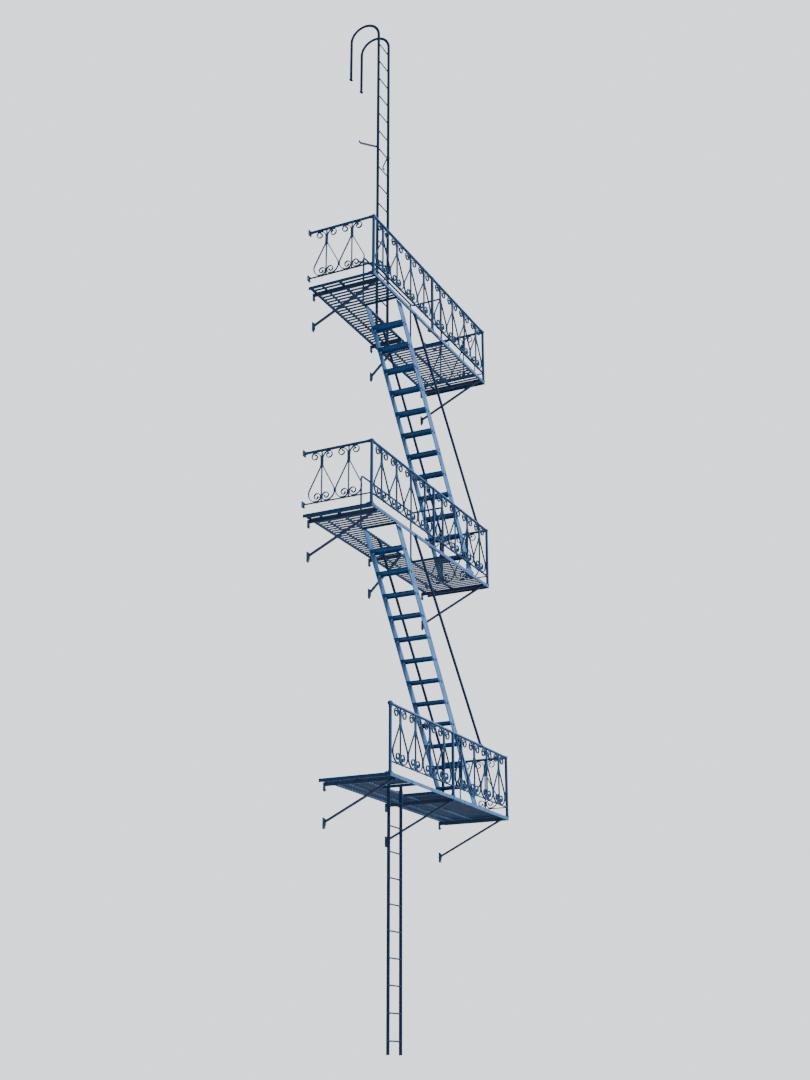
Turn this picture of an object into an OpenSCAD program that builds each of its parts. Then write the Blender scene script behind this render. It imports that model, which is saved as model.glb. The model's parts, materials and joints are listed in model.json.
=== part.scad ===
/* [Balconies] */
// Distance from the wall to the outer edge of a platform
balcony_depth = 946; // [900:2:1000]
// Length of a balcony along the wall
balcony_length = 3472; // [3400:2:3600]
// How far the lowest balcony stands to the right of the others
lower_shift = 510; // [400:10:600]
// Height of one riser of the stairs
riser = 237; // [225:1:245]
// Risers in one flight, from one platform to the next
riser_count = 13; // [13:1:14]

/* [Platforms] */
// Width of one slat of the walking surface
slat_width = 35; // [30:1:42]
// Distance from one slat to the next
slat_pitch = 68; // [62:1:80]
// Thickness of a slat
slat_thickness = 8; // [6:1:12]
// Height of the angle bar round the platform
edge_height = 42; // [40:1:60]
// Thickness of the angle bar's legs
edge_thickness = 7; // [6:1:10]
// Distance from the left end of a platform to its stair opening
opening_start = 686; // [660:2:720]
// Length of the stair opening
opening_length = 1376; // [1300:2:1420]
// Length of the ladder opening in the lowest platform
hatch_length = 600; // [520:10:700]
// Distance from the wall to the stair opening
walkway_width = 470; // [450:2:480]

/* [Brackets] */
// Height of a bracket's horizontal arm
arm_height = 45; // [40:1:60]
// Thickness of a bracket's horizontal arm
arm_thickness = 14; // [10:1:18]
// Width of the diagonal strut
strut_width = 34; // [26:1:42]
// Thickness of the diagonal strut
strut_thickness = 20; // [16:1:26]
// Distance from a balcony's end to its first bracket
bracket_inset = 156; // [140:2:200]
// Height of a platform above the middle of its lower wall plates
plate_drop = 490; // [460:5:520]
// Radius of the anchor holes in the wall plates
anchor_hole_r = 8; // [6:0.5:10]

/* [Railings] */
// Height of the top rail's upper face above the platform
rail_height = 812; // [780:2:900]
// Height of the bottom rail's upper face above the platform
bottom_rail_height = 134; // [120:2:160]
// Side of the square posts
post_size = 32; // [28:1:36]
// Radius of the elbow where two top rails meet on a post
elbow_r = 25; // [24:1:28]
// Radius of the ball on the post at an open end
knob_r = 30; // [28:1:36]
// Width of the oval top rail
top_rail_width = 40; // [36:1:42]
// Height of the oval top rail
top_rail_height = 34; // [26:1:38]

/* [Scrollwork] */
// Width of one pair of scrolls along the front
pair_width = 400; // [390:1:406]
// Width of one pair of scrolls at the ends
end_pair_width = 367; // [350:1:390]
// In-plane thickness of the scroll bars
scroll_thickness = 11; // [8:0.5:12]
// Depth of the scroll bars across the railing
scroll_depth = 20; // [16:1:24]
// Radius of the upper curl where it leaves the middle bar
upper_curl_r = 88; // [76:1:90]
// Radius of the belly of a scroll
belly_r = 118; // [110:1:124]
// Height of the collar above the bottom rail
collar_rise = 454; // [430:2:480]

/* [Flights] */
// Horizontal distance from one tread to the next
tread_run = 170; // [160:1:180]
// Depth of a tread
tread_depth = 148; // [140:1:165]
// Depth of a stringer, square to its slope
stringer_depth = 118; // [105:1:130]
// Thickness of a stringer
stringer_thickness = 10; // [8:1:14]
// Radius of the handrails
handrail_r = 18; // [15:1:21]

/* [Ladders] */
// Distance between the middles of a ladder's rails
ladder_width = 320; // [300:2:360]
// Distance from the wall to the roof ladder's middle
ladder_standoff = 186; // [170:2:220]
// Height of the roof edge above the upper platform
roof_height = 4300; // [4100:50:4500]
// Length of the drop ladder below the lowest platform
drop_length = 3000; // [2700:50:3300]
// Distance from one rung to the next
rung_pitch = 300; // [280:5:320]

/* [Hidden] */

iron = [0.10, 0.17, 0.26];
iron_light = [0.22, 0.33, 0.45];

// The three balconies, counted from below
lower = 0;
middle = 1;
upper = 2;

// Everything hangs from the middle bracket of the middle balcony: its lower
// wall plate holds the origin, and the wall is the plane y = 0.
storey = riser * riser_count;
function balcony_x(level) = level == lower ? lower_shift : 0;
function platform_z(level) = plate_drop + (level - middle) * storey;
function hole_length(level) = level == lower ? hatch_length : opening_length;

half_length = balcony_length / 2;
rail_y = -(balcony_depth - post_size / 2);
post_x = half_length - post_size / 2;
opening_x = -half_length + opening_start;
slat_z = -slat_thickness;
bar_thickness = 10;
// The bars on edge at both ends of an opening
hole_bar = 12;
bar_z = slat_z - bar_thickness;
arm_z = bar_z - arm_height;
wall_gap = 15;

module on_balcony(level) {
    translate([balcony_x(level), 0, platform_z(level)])
        children();
}

// A bar of a given width along a path in the plane
function unit(v) = v / norm(v);
function normal_at(path, i) =
    let (
        t = i == 0 ? unit(path[1] - path[0])
            : i == len(path) - 1 ? unit(path[i] - path[i - 1])
            : unit(unit(path[i] - path[i - 1]) + unit(path[i + 1] - path[i])),
        s = i == 0 || i == len(path) - 1 ? 1 : t * unit(path[i + 1] - path[i])
    )
    [-t[1], t[0]] / s;
function ribbon(path, width) = concat(
    [for (i = [0:len(path) - 1]) path[i] + normal_at(path, i) * width / 2],
    [for (i = [len(path) - 1:-1:0]) path[i] - normal_at(path, i) * width / 2]
);

// Brackets

plate_width = 50;
plate_height = 130;
plate_thickness = 10;
plate_hole_spacing = 90;
// A strut's upright foot ends between the two anchor holes
strut_foot = 46;
arm_plate_height = 104;
arm_plate_spacing = 70;
bracket_x = half_length - bracket_inset;
// Over a flight the middle bracket reaches only as far as the inner bar
long_reach = balcony_depth - edge_thickness - 1;
short_reach = walkway_width;

module wall_plate(height, hole_spacing) {
    difference() {
        translate([-plate_width / 2, -plate_thickness, -height / 2])
            cube([plate_width, plate_thickness, height]);
        for (side = [-1, 1])
            translate([0, 1, side * hole_spacing / 2])
                rotate([90, 0, 0])
                    cylinder(h = plate_thickness + 2, r = anchor_hole_r, $fn = 32);
    }
}

module bracket(reach) {
    knee = [-plate_thickness - strut_thickness / 2 + 1, -plate_drop + strut_foot / 3];
    tip = [-reach * 0.95, arm_z + 8];
    translate([0, 0, -plate_drop])
        wall_plate(plate_height, plate_hole_spacing);
    translate([-strut_width / 2, 0, 0])
        rotate([90, 0, 90])
            linear_extrude(height = strut_width)
                polygon(ribbon([knee - [0, strut_foot], knee, tip], strut_thickness));
    translate([-arm_thickness / 2, -reach, arm_z])
        cube([arm_thickness, reach - plate_thickness + 1, arm_height]);
    translate([0, 0, bar_z - arm_plate_height / 2])
        wall_plate(arm_plate_height, arm_plate_spacing);
}

module brackets(level) {
    color(iron)
        on_balcony(level) {
            for (side = [-1, 1])
                translate([side * bracket_x, 0, 0])
                    bracket(long_reach);
            bracket(level == lower ? long_reach : short_reach);
        }
}

// Platforms

module long_bar(y, width) {
    translate([-half_length + edge_thickness - 1, y - width / 2, bar_z])
        cube([balcony_length - 2 * edge_thickness + 2, width, bar_thickness]);
}

module frame(level) {
    hole_end = opening_x + hole_length(level);
    hole_width = balcony_depth - edge_thickness - walkway_width + 2;
    color(iron_light)
        on_balcony(level) {
            difference() {
                translate([-half_length, -balcony_depth, -edge_height])
                    cube([balcony_length, balcony_depth - wall_gap, edge_height]);
                translate([-half_length + edge_thickness, -balcony_depth + edge_thickness, -edge_height - 1])
                    cube([balcony_length - 2 * edge_thickness, balcony_depth, edge_height + 2]);
            }
            // Flat bars under the slats, along the platform
            long_bar(-40, 44);
            long_bar(-200, 30);
            long_bar(-walkway_width + 20, 40);
            long_bar(-balcony_depth + edge_thickness + 17, 36);
            for (x = [opening_x - hole_bar, hole_end])
                translate([x, -balcony_depth + edge_thickness - 1, -edge_height])
                    cube([hole_bar, hole_width, edge_height - slat_thickness]);
        }
}

// Slats whose middle lies over the opening stop at the walkway
module grating(level) {
    count = floor((balcony_length - 2 * edge_thickness - slat_width) / slat_pitch);
    start = -count * slat_pitch / 2;
    clearance = hole_bar + slat_width / 2;
    hole_end = opening_x + hole_length(level);
    outer = -balcony_depth + edge_thickness;
    color(iron)
        on_balcony(level)
            for (i = [0:count]) {
                x = start + i * slat_pitch;
                over_hole = x > opening_x - clearance && x < hole_end + clearance;
                reach = over_hole ? -walkway_width : outer;
                translate([x - slat_width / 2, reach, slat_z])
                    cube([slat_width, -wall_gap - reach, slat_thickness]);
            }
}

// Railings

top_rail_z = rail_height - top_rail_height / 2;
// Rails end inside the elbows and stay clear of each other at the corners
rail_start = top_rail_width / 2 + 1;

module post(head_r) {
    translate([-post_size / 2, -post_size / 2, 0])
        cube([post_size, post_size, top_rail_z]);
    if (head_r > 0)
        translate([0, 0, top_rail_z + 2])
            sphere(r = head_r, $fn = 32);
}

module posts(level) {
    color(iron)
        on_balcony(level)
            translate([0, rail_y, 0]) {
                translate([-post_x, 0, 0])
                    post(level == lower ? knob_r : elbow_r);
                post(0);
                translate([post_x, 0, 0])
                    post(elbow_r);
            }
}

function oval(width, height, sides) =
    [for (i = [0:sides - 1]) [width / 2 * cos(i * 360 / sides), height / 2 * sin(i * 360 / sides)]];

// A rail of a given length along +X
module top_rail(length) {
    translate([0, 0, top_rail_z])
        rotate([90, 0, 90])
            linear_extrude(height = length)
                polygon(oval(top_rail_width, top_rail_height, 20));
}

bottom_rail_width = 28;
bottom_rail_thickness = 10;
module bottom_rail(length) {
    translate([0, -bottom_rail_width / 2, bottom_rail_height - bottom_rail_thickness])
        cube([length, bottom_rail_width, bottom_rail_thickness]);
}

flange_thickness = 12;
flange_width = 64;
flange_height = 76;

// The lowest balcony has no railing at its left end
function end_sides(level) = level == lower ? [1] : [-1, 1];

module rails(level) {
    end_length = -rail_y - rail_start - flange_thickness;
    color(iron)
        on_balcony(level) {
            translate([0, rail_y, 0]) {
                translate([-post_x + rail_start, 0, 0])
                    top_rail(2 * (post_x - rail_start));
                for (x = [-post_x + post_size / 2, post_size / 2])
                    translate([x, 0, 0])
                        bottom_rail(post_x - post_size);
            }
            for (side = end_sides(level))
                translate([side * post_x, rail_y + rail_start, 0])
                    rotate([0, 0, 90]) {
                        top_rail(end_length);
                        bottom_rail(end_length);
                    }
        }
}

// Plates that hold the ends of the rails on the wall
module rail_flanges(level) {
    bottom_rail_z = bottom_rail_height - bottom_rail_thickness / 2;
    color(iron)
        on_balcony(level)
            for (side = end_sides(level), z = [bottom_rail_z, top_rail_z])
                translate([side * post_x - flange_width / 2, -flange_thickness, z - flange_height / 2])
                    cube([flange_width, flange_thickness, flange_height]);
}

// One scroll: quarter turns of falling radius at the top, two straight runs,
// a round belly and quarter turns of falling radius at the bottom.

scroll_top = top_rail_z - top_rail_height / 2;
upper_ratios = [1, 0.55, 0.52, 0.42, 0.3];
lower_ratios = [0.52, 0.43, 0.36, 0.28, 0.2];
quarter_steps = 5;
centre_bar = 12;
bar_gap = centre_bar / 2 + scroll_thickness / 2 + 1.5;
collar_width = 40;
collar_height = 18;
neighbour_gap = 3;

function turned(angle) = [cos(angle), sin(angle)];
function arc(centre, r, from, to) =
    [for (i = [1:quarter_steps]) centre + r * turned(from + (to - from) * i / quarter_steps)];

// Quarter turns that follow on from a point, each with its own radius
function spiral(start, from, turn, radii, i = 0) =
    i == len(radii) ? []
    : let (
        centre = start - radii[i] * turned(from),
        to = from + 90 * turn
    )
    concat(arc(centre, radii[i], from, to), spiral(centre + radii[i] * turned(to), to, turn, radii, i + 1));

function reversed(path) = [for (i = [len(path) - 1:-1:0]) path[i]];

// The left scroll of a pair, from the end of its upper curl to the end of its lower one
function scroll_path(width) =
    let (
        scale = width / pair_width,
        half = scroll_thickness / 2,
        r = belly_r * scale,
        curl = [-bar_gap, scroll_top - half - upper_curl_r * scale],
        neck = [-bar_gap, bottom_rail_height + collar_rise],
        belly = [-(width - neighbour_gap) / 2 + half + r, bottom_rail_height + half + r],
        reach = neck - belly,
        tangent = atan2(reach[1], reach[0]) + acos(r / norm(reach)),
        under = belly - [0, r]
    )
    concat(
        reversed(spiral(curl, 0, 1, upper_ratios * upper_curl_r * scale)),
        [curl, neck, belly + r * turned(tangent)],
        arc(belly, r, tangent, 180),
        arc(belly, r, 180, 270),
        spiral(under, 270, 1, lower_ratios * belly_r * scale)
    );

// Two scrolls back to back on a square bar, held by a collar
module scroll_pair(width) {
    path = scroll_path(width);
    for (side = [0, 1])
        mirror([side, 0, 0])
            translate([0, scroll_depth / 2, 0])
                rotate([90, 0, 0])
                    linear_extrude(height = scroll_depth)
                        polygon(ribbon(path, scroll_thickness));
    translate([-centre_bar / 2, -centre_bar / 2, bottom_rail_height])
        cube([centre_bar, centre_bar, scroll_top - bottom_rail_height + 3]);
    translate([-collar_width / 2, -scroll_depth / 2 - 3, bottom_rail_height + collar_rise - collar_height / 2])
        cube([collar_width, scroll_depth + 6, collar_height]);
}

// Pairs side by side along +X, the first one starting at a given distance
module scroll_row(start, count, width) {
    for (i = [0:count - 1])
        translate([start + (i + 0.5) * width, 0, 0])
            scroll_pair(width);
}

front_pairs = 4;
end_pairs = 2;
front_gap = (post_x - front_pairs * pair_width) / 2;
end_gap = 72;

module front_scrolls(level, side) {
    color(iron)
        on_balcony(level)
            translate([side < 0 ? -post_x : 0, rail_y, 0])
                scroll_row(front_gap, front_pairs, pair_width);
}

module end_scrolls(level, side) {
    color(iron)
        on_balcony(level)
            translate([side * post_x, 0, 0])
                rotate([0, 0, -90])
                    scroll_row(end_gap, end_pairs, end_pair_width);
}

// The bar that guards the inner side and the right end of an opening

guard_height = 680;
guard_size = 24;
module guard_post() {
    translate([-guard_size / 2, -guard_size / 2, 0])
        cube([guard_size, guard_size, guard_height]);
}

module opening_guard(level) {
    left = opening_x - 30;
    right = opening_x + hole_length(level) + 30;
    inner_y = -walkway_width + guard_size / 2 + 6;
    outer_y = rail_y + post_size / 2 + guard_size / 2 + 6;
    color(iron)
        on_balcony(level) {
            for (p = [[left, inner_y], [right, inner_y], [right, outer_y]])
                translate([p[0], p[1], 0])
                    guard_post();
            translate([left - guard_size / 2, inner_y - guard_size / 2, guard_height - guard_size])
                cube([right - left + guard_size, guard_size, guard_size]);
            translate([right - guard_size / 2, outer_y - guard_size / 2, guard_height - guard_size])
                cube([guard_size, inner_y - outer_y + guard_size, guard_size]);
        }
}

// Flights

// A flight's middle line meets the platform's top face this far past the opening's start
flight_start = 92;
flight_x = opening_x + flight_start;
slope = atan2(riser, tread_run);
inner_stringer_y = -walkway_width + 20;
outer_stringer_gap = 38;
outer_stringer_y = -(balcony_depth - edge_thickness - outer_stringer_gap - stringer_thickness);
stringer_width = stringer_depth / sin(slope);
run_ratio = tread_run / riser;

// A stringer's side view, cut level at both ends
module stringer(top) {
    rotate([90, 0, 0])
        linear_extrude(height = stringer_thickness)
            polygon([
                [flight_x - stringer_width / 2 - top * run_ratio, top],
                [flight_x + stringer_width / 2 - top * run_ratio, top],
                [flight_x + stringer_width / 2 + storey * run_ratio, -storey],
                [flight_x - stringer_width / 2 + storey * run_ratio, -storey]
            ]);
}

module flight_stringers(level) {
    color(iron_light)
        on_balcony(level) {
            translate([0, inner_stringer_y, 0])
                stringer(bar_z);
            translate([0, outer_stringer_y, 0])
                stringer(-edge_height / 2);
        }
}

tread_plate = 6;
tread_lip = 26;
tread_span = inner_stringer_y - stringer_thickness - outer_stringer_y;
module tread() {
    lip = tread_plate;
    translate([0, tread_span, 0])
        rotate([90, 0, 0])
            linear_extrude(height = tread_span)
                polygon([
                    [-tread_depth / 2, 0], [-tread_depth / 2, -tread_lip],
                    [-tread_depth / 2 + lip, -tread_lip], [-tread_depth / 2 + lip, -tread_plate],
                    [tread_depth / 2 - lip, -tread_plate], [tread_depth / 2 - lip, -tread_lip],
                    [tread_depth / 2, -tread_lip], [tread_depth / 2, 0]
                ]);
}

module flight_treads(level) {
    color(iron)
        on_balcony(level)
            for (k = [1:riser_count - 1])
                translate([flight_x + k * tread_run, outer_stringer_y, -k * riser])
                    tread();
}

// A round rail between two points of a side view, cut level at both ends
module handrail(from, to) {
    rise = from[1] - to[1];
    angle = atan2(rise, to[0] - from[0]);
    spare = 60;
    intersection() {
        translate([from[0], 0, from[1]])
            rotate([0, 90 + angle, 0])
                translate([0, 0, -spare])
                    cylinder(h = norm(to - from) + 2 * spare, r = handrail_r, $fn = 24);
        translate([from[0] - spare, -spare, to[1]])
            cube([to[0] - from[0] + 2 * spare, 2 * spare, rise]);
    }
}

newel_size = 32;
newel_height = 700;
outer_rail_top = [-post_x + 1171, -edge_height];
outer_rail_foot = [-post_x + 3116, -storey + rail_height];
inner_rail_top = [-post_x + 1131, bar_z];
inner_rail_foot = [-post_x + 2956, -storey + newel_height];

module flight_handrails(level) {
    newel_x = inner_rail_foot[0] + 4;
    inner_y = inner_stringer_y - stringer_thickness / 2;
    color(iron)
        on_balcony(level) {
            translate([0, rail_y, 0])
                handrail(outer_rail_top, outer_rail_foot);
            translate([0, inner_y, 0])
                handrail(inner_rail_top, inner_rail_foot - [0, 10]);
            translate([newel_x - newel_size / 2, inner_y - newel_size / 2, -storey])
                cube([newel_size, newel_size, newel_height]);
        }
}

// Ladders

// The roof ladder stands a little to the left of the balcony's middle
roof_ladder_x = -30;
ladder_rail_width = 42;
ladder_rail_thickness = 12;
rung_r = 9;
neck_r = 225;
neck_top = roof_height + 650;

module on_roof_ladder() {
    on_balcony(upper)
        translate([roof_ladder_x, 0, 0])
            children();
}

// Side view of a roof ladder rail: straight up, over the roof edge and down
function neck_path() = concat(
    [[-ladder_standoff, 0], [-ladder_standoff, neck_top]],
    [for (angle = [165:-15:15])
        [-ladder_standoff + neck_r + neck_r * cos(angle), neck_top + neck_r * sin(angle)]],
    [[-ladder_standoff + 2 * neck_r, neck_top], [-ladder_standoff + 2 * neck_r, roof_height]]
);

module roof_ladder_rails() {
    color(iron)
        on_roof_ladder()
            for (side = [-1, 1])
                translate([side * ladder_width / 2 - ladder_rail_thickness / 2, 0, 0])
                    rotate([90, 0, 90])
                        linear_extrude(height = ladder_rail_thickness)
                            polygon(ribbon(neck_path(), ladder_rail_width));
}

module rung(y, z) {
    length = ladder_width - ladder_rail_thickness;
    translate([-length / 2, y, z])
        rotate([0, 90, 0])
            cylinder(h = length, r = rung_r, $fn = 16);
}

module roof_ladder_rungs() {
    color(iron)
        on_roof_ladder()
            for (z = [rung_pitch:rung_pitch:neck_top])
                rung(-ladder_standoff, z);
}

// Stays spread out from the rails to the wall
stay_heights = [1100, 3020];
stay_bar = 32;
stay_thickness = 8;
stay_spread = 170;
stay_foot = 56;

// Plan of the right stay: along the rail, slanting to the wall, along the wall
function stay_path() =
    let (
        x = (ladder_width + ladder_rail_thickness + stay_thickness) / 2,
        half = ladder_rail_width / 2
    )
    [
        [x, -ladder_standoff - half], [x, -ladder_standoff + half + stay_thickness],
        [x + stay_spread, -stay_thickness / 2], [x + stay_spread + stay_foot, -stay_thickness / 2]
    ];

module roof_ladder_brackets() {
    color(iron)
        on_roof_ladder()
            for (z = stay_heights, side = [0, 1])
                mirror([side, 0, 0])
                    translate([0, 0, z - stay_bar / 2])
                        linear_extrude(height = stay_bar)
                            polygon(ribbon(stay_path(), stay_thickness));
}

drop_x = opening_x + hatch_length / 2;
drop_y = -walkway_width - ladder_rail_width / 2 - 13;

// How far the drop ladder's rails stand above the platform
rail_above = 60;

module drop_ladder_rails() {
    color(iron)
        on_balcony(lower)
            for (side = [-1, 1])
                translate([
                    drop_x + side * ladder_width / 2 - ladder_rail_thickness / 2,
                    drop_y - ladder_rail_width / 2, -drop_length
                ])
                    cube([ladder_rail_thickness, ladder_rail_width, drop_length + rail_above]);
}

module drop_ladder_rungs() {
    color(iron)
        on_balcony(lower)
            translate([drop_x, 0, 0])
                for (z = [-drop_length + 150:rung_pitch:-100])
                    rung(drop_y, z);
}

// Hooks that hang the drop ladder on the walkway beside the opening
hanger_thickness = 10;
hanger_drop = 60;
hook_reach = 70;
hook_thickness = 12;

module drop_ladder_hangers() {
    inner = drop_y + ladder_rail_width / 2 - 1;
    outer = drop_y - ladder_rail_width / 2 + 1;
    x = (ladder_width + ladder_rail_thickness + hanger_thickness) / 2;
    color(iron)
        on_balcony(lower)
            for (side = [-1, 1])
                translate([drop_x + side * x - hanger_thickness / 2, 0, 0])
                    rotate([90, 0, 90])
                        linear_extrude(height = hanger_thickness)
                            polygon([
                                [outer, -hanger_drop], [inner, -hanger_drop], [inner, 0],
                                [inner + hook_reach, 0], [inner + hook_reach, hook_thickness],
                                [outer, hook_thickness]
                            ]);
}

brackets(lower);  // lower_brackets
frame(lower);  // lower_frame
grating(lower);  // lower_grating
posts(lower);  // lower_posts
rails(lower);  // lower_rails
front_scrolls(lower, -1);  // lower_front_scrolls_left
front_scrolls(lower, 1);  // lower_front_scrolls_right
end_scrolls(lower, 1);  // lower_end_scrolls_right
rail_flanges(lower);  // lower_rail_flanges
brackets(middle);  // middle_brackets
frame(middle);  // middle_frame
grating(middle);  // middle_grating
posts(middle);  // middle_posts
rails(middle);  // middle_rails
front_scrolls(middle, -1);  // middle_front_scrolls_left
front_scrolls(middle, 1);  // middle_front_scrolls_right
end_scrolls(middle, -1);  // middle_end_scrolls_left
end_scrolls(middle, 1);  // middle_end_scrolls_right
rail_flanges(middle);  // middle_rail_flanges
opening_guard(middle);  // middle_opening_guard
brackets(upper);  // upper_brackets
frame(upper);  // upper_frame
grating(upper);  // upper_grating
posts(upper);  // upper_posts
rails(upper);  // upper_rails
front_scrolls(upper, -1);  // upper_front_scrolls_left
front_scrolls(upper, 1);  // upper_front_scrolls_right
end_scrolls(upper, -1);  // upper_end_scrolls_left
end_scrolls(upper, 1);  // upper_end_scrolls_right
rail_flanges(upper);  // upper_rail_flanges
opening_guard(upper);  // upper_opening_guard
flight_stringers(upper);  // upper_flight_stringers
flight_treads(upper);  // upper_flight_treads
flight_handrails(upper);  // upper_flight_handrails
flight_stringers(middle);  // lower_flight_stringers
flight_treads(middle);  // lower_flight_treads
flight_handrails(middle);  // lower_flight_handrails
roof_ladder_rails();
roof_ladder_rungs();
roof_ladder_brackets();
drop_ladder_rails();
drop_ladder_rungs();
drop_ladder_hangers();
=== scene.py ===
"""Looks of a wall-hung iron fire escape stair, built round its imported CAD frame.

Run as a script in Blender. Each operator makes or paints one group of like pieces, in metres and in the
frame of the CAD part: +X right along the wall, +Y into the wall, +Z up.
"""

import json
import math

import bpy
import numpy as np
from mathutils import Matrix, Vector


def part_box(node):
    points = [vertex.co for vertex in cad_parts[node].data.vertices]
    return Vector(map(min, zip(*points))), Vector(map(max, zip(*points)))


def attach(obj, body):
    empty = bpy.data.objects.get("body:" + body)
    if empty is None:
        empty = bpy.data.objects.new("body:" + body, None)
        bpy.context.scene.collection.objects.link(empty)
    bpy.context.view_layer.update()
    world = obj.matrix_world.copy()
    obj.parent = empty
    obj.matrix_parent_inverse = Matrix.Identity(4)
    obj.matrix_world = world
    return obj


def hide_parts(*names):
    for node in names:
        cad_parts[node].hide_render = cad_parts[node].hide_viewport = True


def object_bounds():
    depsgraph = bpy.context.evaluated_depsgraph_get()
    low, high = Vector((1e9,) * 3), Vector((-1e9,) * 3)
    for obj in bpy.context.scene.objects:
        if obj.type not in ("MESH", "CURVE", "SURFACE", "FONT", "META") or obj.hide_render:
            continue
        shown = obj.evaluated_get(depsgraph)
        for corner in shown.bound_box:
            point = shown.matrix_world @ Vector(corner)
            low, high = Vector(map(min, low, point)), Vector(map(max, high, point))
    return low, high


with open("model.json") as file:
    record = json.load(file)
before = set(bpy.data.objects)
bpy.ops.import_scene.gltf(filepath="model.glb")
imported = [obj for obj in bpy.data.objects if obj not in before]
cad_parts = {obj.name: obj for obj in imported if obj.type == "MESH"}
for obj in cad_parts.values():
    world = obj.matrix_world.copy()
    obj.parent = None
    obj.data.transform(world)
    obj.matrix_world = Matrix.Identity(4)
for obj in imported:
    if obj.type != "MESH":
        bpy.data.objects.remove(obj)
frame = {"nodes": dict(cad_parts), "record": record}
cad_box = [list(corner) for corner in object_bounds()]

bl_info = {
    "name": "Fire Escape Stair",
    "version": (1, 0, 0),
    "blender": (4, 5, 0),
    "location": "3D View > Sidebar > Fire Escape",
    "description": "Painted ironwork for a wall-hung fire escape stair",
    "category": "Object",
}

LEVELS = ("lower", "middle", "upper")
FLIGHTS = {"upper_flight": "upper", "lower_flight": "middle"}

# How far each paint is chalked and painted lighter, as painted sky light, where it faces the sky and the
# street
CHALK_AND_SKY_LIGHT_SHARES = {
    "bracket_iron": 0.50,
    "frame_iron": 0.95,
    "slat_iron": 0.25,
    "rail_iron": 1.0,
    "scroll_iron": 0.45,
    "stringer_iron": 1.0,
    "tread_iron": 0.15,
    "ladder_iron": 0.22,
    "bolt_iron": 0.10,
    "post_iron": 0.30,
}

# Sizes that the CAD source also has, with heights counted from a platform's top

# Railings: the middle of the top rail, the top of the bottom rail, the plate at the wall
POST = 0.032
TOP_RAIL = (0.040, 0.034)
TOP_RAIL_Z = 0.795
BOTTOM_RAIL = (0.028, 0.010)
BOTTOM_RAIL_Z = 0.134
FLANGE = 0.012

# Platforms: the flat bars' middles and underside, then the openings
EDGE_WALL = 0.007
SLAT = 0.035
SLAT_PITCH = 0.068
BAR_Y = (-0.040, -0.200, -0.450, -0.921)
UNDER_BAR = -0.018
HOLE_START = 0.686
STAIR_HOLE = 1.376
HATCH = 0.600

# Brackets: the distance of the wall plates' middles from a platform, and half their bolts' spacing
BRACKET_INSET = 0.156
PLATE_DROP = 0.490
PLATE_BOLTS = 0.045
ARM_PLATE_DROP = 0.070
ARM_PLATE_BOLTS = 0.035

# Scrollwork: the width of a pair, the space between two, and the curves of a full-width pair
PAIR = 0.400
PAIR_GAP = 0.003
END_PAIR = 0.367
END_START = 0.072
SCROLL = (0.011, 0.020)
SCROLL_GAP = 0.013
BELLY_R = 0.118
CURL_R = 0.088
COLLAR_Z = 0.588

# Flights: handrails run between two distances from their balcony's first post
TREAD_COUNT = 12
TREAD_DEPTH = 0.148
TREAD_LIP = 0.026
STRINGER = 0.010
OUTER_HANDRAIL = (1.171, 3.108)
INNER_HANDRAIL = (1.125, 2.960)

# Ladders: the rails' section, and the bend and the drop of the necks over the roof
LADDER_RAIL = (0.042, 0.012)
NECK_R = 0.225
NECK_DROP = 0.650

# The angle at which a piece's shading breaks
CREASE = math.radians(38)

# Colours that every paint shares, and the direction of the painted sky light that lightens the faces turned
# to it
DUST = (0.150, 0.165, 0.185, 1.0)
RUBBED = (0.150, 0.190, 0.250, 1.0)
STAIN = (0.060, 0.040, 0.035, 1.0)
FRESH_RUST = (0.105, 0.040, 0.020, 1.0)
OLD_RUST = (0.045, 0.026, 0.022, 1.0)
SKY_LIGHT_DIRECTION = (0.10, -0.66, 0.74)

# Share of the light that the studio floor throws back at the ironwork
FLOOR_BOUNCE = 0.55


# Shapes: each is a pair of an (n, 3) array of points and a list of face arrays


def corners_of(node):
    """Lowest and highest corner of a CAD node as arrays."""
    low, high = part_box(node)
    return np.array(low), np.array(high)


def joined(*shapes):
    """One shape of several: points are stacked, and each face index moves on by the points before it."""
    points, faces, count = [], [], 0
    for some_points, some_faces in shapes:
        points.append(some_points)
        faces += [f + count for f in some_faces]
        count += len(some_points)
    return np.vstack(points), faces


def copied(shape, offsets, turn=0.0):
    """A shape turned about Z by an angle, then repeated at each offset."""
    points, faces = shape
    c, s = math.cos(turn), math.sin(turn)
    points = points @ np.array([[c, s, 0], [-s, c, 0], [0, 0, 1]])
    offsets = np.asarray(offsets, float).reshape(-1, 3)
    grown = (points[None] + offsets[:, None]).reshape(-1, 3)
    step = np.arange(len(offsets))[:, None, None] * len(points)
    return grown, [(f[None] + step).reshape(-1, f.shape[1]) for f in faces]


def facing(shape, axis):
    """A shape that stands along +Z, turned so that it stands along another axis."""
    turns = {
        "x": ((0, 0, 1), (0, 1, 0), (-1, 0, 0)),
        "-x": ((0, 0, -1), (0, 1, 0), (1, 0, 0)),
        "y": ((1, 0, 0), (0, 0, 1), (0, -1, 0)),
        "-y": ((1, 0, 0), (0, 0, -1), (0, 1, 0)),
        "-z": ((1, 0, 0), (0, -1, 0), (0, 0, -1)),
    }
    points, faces = shape
    return points @ np.array(turns[axis], float).T, faces


def mirrored(shape):
    """A shape with X turned to -X, and its faces turned round so that they still point outwards."""
    points, faces = shape
    return points * (-1, 1, 1), [f[:, ::-1] for f in faces]


def grid_faces(rings, count):
    """Quads between neighbouring rings of `count` points, and a flat face at each end."""
    i, j = np.meshgrid(np.arange(rings - 1), np.arange(count), indexing="ij")
    k = (j + 1) % count
    quads = np.stack([i * count + j, i * count + k, (i + 1) * count + k, (i + 1) * count + j], -1)
    first = np.arange(count)[::-1]
    last = np.arange(count) + (rings - 1) * count
    return [quads.reshape(-1, 4), np.stack([first, last])]


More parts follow.
